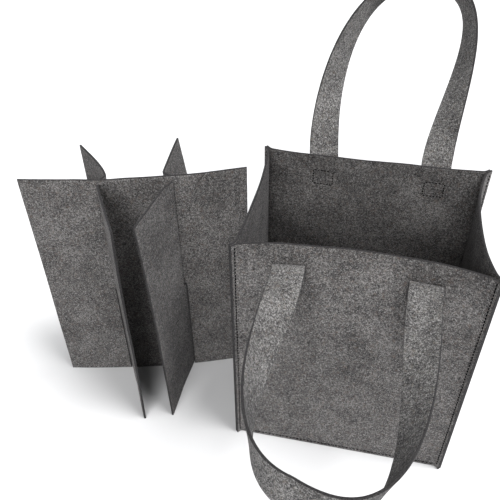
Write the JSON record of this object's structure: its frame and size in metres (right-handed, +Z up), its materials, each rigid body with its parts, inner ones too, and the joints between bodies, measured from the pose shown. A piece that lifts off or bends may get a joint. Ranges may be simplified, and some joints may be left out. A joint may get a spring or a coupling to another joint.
{
  "type": "felt tote bag",
  "caption": "Open felt tote bag with upright side walls, two loop handles and a lift-out upright divider of slotted felt sheets for yarn, needles or bottles.",
  "frame": {"origin": "middle of the bag's flat underside, on the surface that the bag and the divider stand on", "axes": "+Z up, -Y the front of the bag, +X to the right; the divider stands at the -X side"},
  "size_m": [0.5746, 0.6656, 0.5333],
  "materials": {
    "wall_felt": "mottled grey needle felt, matte",
    "base_felt": "mottled grey needle felt, matte",
    "strap_felt": "mottled grey needle felt, matte",
    "divider_felt": "mottled grey needle felt, matte",
    "thread": "dark charcoal sewing thread"
  },
  "bodies": {
    "bag": {"front_panel": "wall_felt", "back_panel": "wall_felt", "left_gusset": "wall_felt", "right_gusset": "wall_felt", "base_panel": "base_felt", "front_handle_ends": "strap_felt", "back_handle_ends": "strap_felt", "front_left_seam": "thread", "front_right_seam": "thread", "back_left_seam": "thread", "back_right_seam": "thread", "front_base_seam": "thread", "back_base_seam": "thread", "left_base_seam": "thread", "right_base_seam": "thread", "front_left_stitching": "thread", "front_right_stitching": "thread", "back_left_stitching": "thread", "back_right_stitching": "thread"},
    "front_handle": {"front_handle": "strap_felt"},
    "back_handle": {"back_handle": "strap_felt"},
    "divider": {"divider_long_sheet": "divider_felt"},
    "left_cross": {"divider_left_cross": "divider_felt"},
    "right_cross": {"divider_right_cross": "divider_felt"}
  },
  "joints": [
    {"name": "front_handle_swing", "type": "hinge", "parent": "bag", "child": "front_handle", "pos_m": [0, -0.09634, 0.332], "axis": [1, 0, 0], "range_deg": [-96, 44]},
    {"name": "back_handle_swing", "type": "hinge", "parent": "bag", "child": "back_handle", "pos_m": [0, 0.10186, 0.339], "axis": [-1, 0, 0], "range_deg": [-46, 94]},
    {"name": "divider_lift", "type": "slide", "parent": "bag", "child": "divider", "axis": [0, 0, 1], "range_m": [0, 0.42]},
    {"name": "left_cross_swing", "type": "hinge", "parent": "divider", "child": "left_cross", "pos_m": [-0.33167, -0.02322, 0.18], "axis": [0, 0, 1], "range_deg": [-35, 0]},
    {"name": "right_cross_swing", "type": "hinge", "parent": "divider", "child": "right_cross", "pos_m": [-0.24189, 0.00368, 0.18], "axis": [0, 0, 1], "range_deg": [0, 35]}
  ]
}
